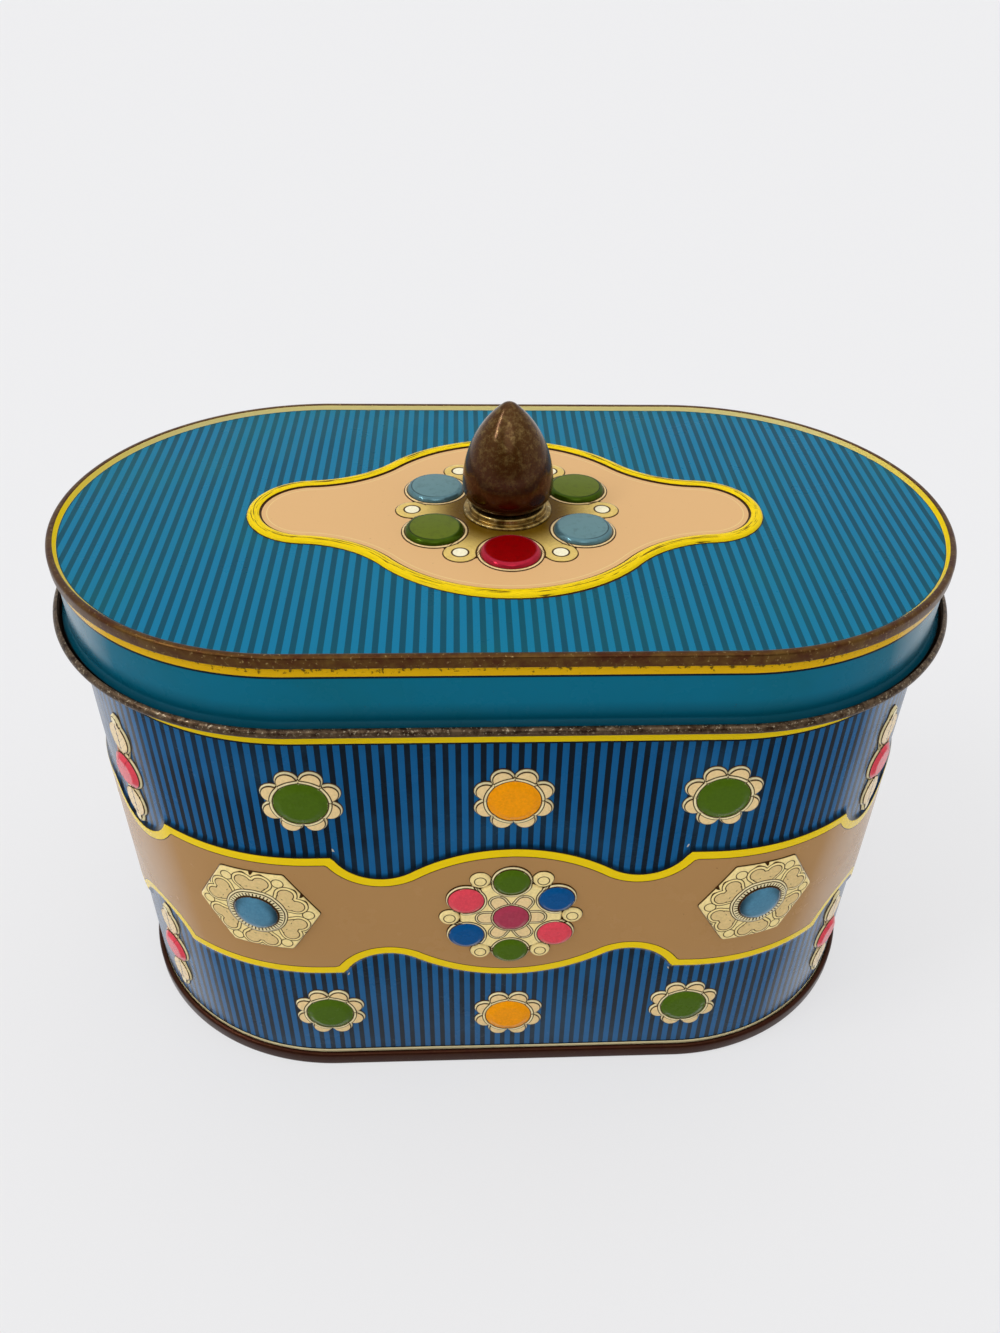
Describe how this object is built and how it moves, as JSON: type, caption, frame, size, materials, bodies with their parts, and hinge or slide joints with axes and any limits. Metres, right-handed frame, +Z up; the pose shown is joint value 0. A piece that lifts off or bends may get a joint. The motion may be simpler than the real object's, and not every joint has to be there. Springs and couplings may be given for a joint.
{
  "type": "tin canister",
  "caption": "Oval tinplate canister with straight embossed walls, a seamed base and a lift-off slip lid with a curled edge and a brass finial knob.",
  "frame": {"origin": "middle of the canister on the plane of the base edge that it stands on", "axes": "+X along the length, -Y towards the front that the picture shows, +Z up along the way the lid lifts"},
  "size_m": [0.2178, 0.1248, 0.1666],
  "materials": {
    "printed_wall": "litho-printed and varnished tinplate, dark blue stripes, tan band, yellow borders, bare tin inside",
    "lacquered_base": "gold-brown lacquered tinplate, worn along the seam",
    "printed_skirt": "litho-printed and varnished tinplate, teal with a yellow line, worn bare on its curl",
    "printed_lid": "litho-printed and varnished tinplate, teal and slate stripes round a tan cartouche",
    "brass_collar": "spun brass, rubbed bright on its edges",
    "brass_knob": "pressed brass with a dark brown patina",
    "steel_fastener": "plated steel"
  },
  "bodies": {
    "canister": {"body_wall": "printed_wall", "base_plate": "lacquered_base"},
    "lid": {"lid_skirt": "printed_skirt", "lid_panel": "printed_lid", "knob_collar": "brass_collar", "knob_shell": "brass_knob", "knob_stud": "steel_fastener", "knob_washer": "steel_fastener", "knob_nut": "steel_fastener"}
  },
  "joints": [
    {"name": "lid_lift", "type": "slide", "parent": "canister", "child": "lid", "axis": [0, 0, 1], "range_m": [0, 0.1]}
  ]
}
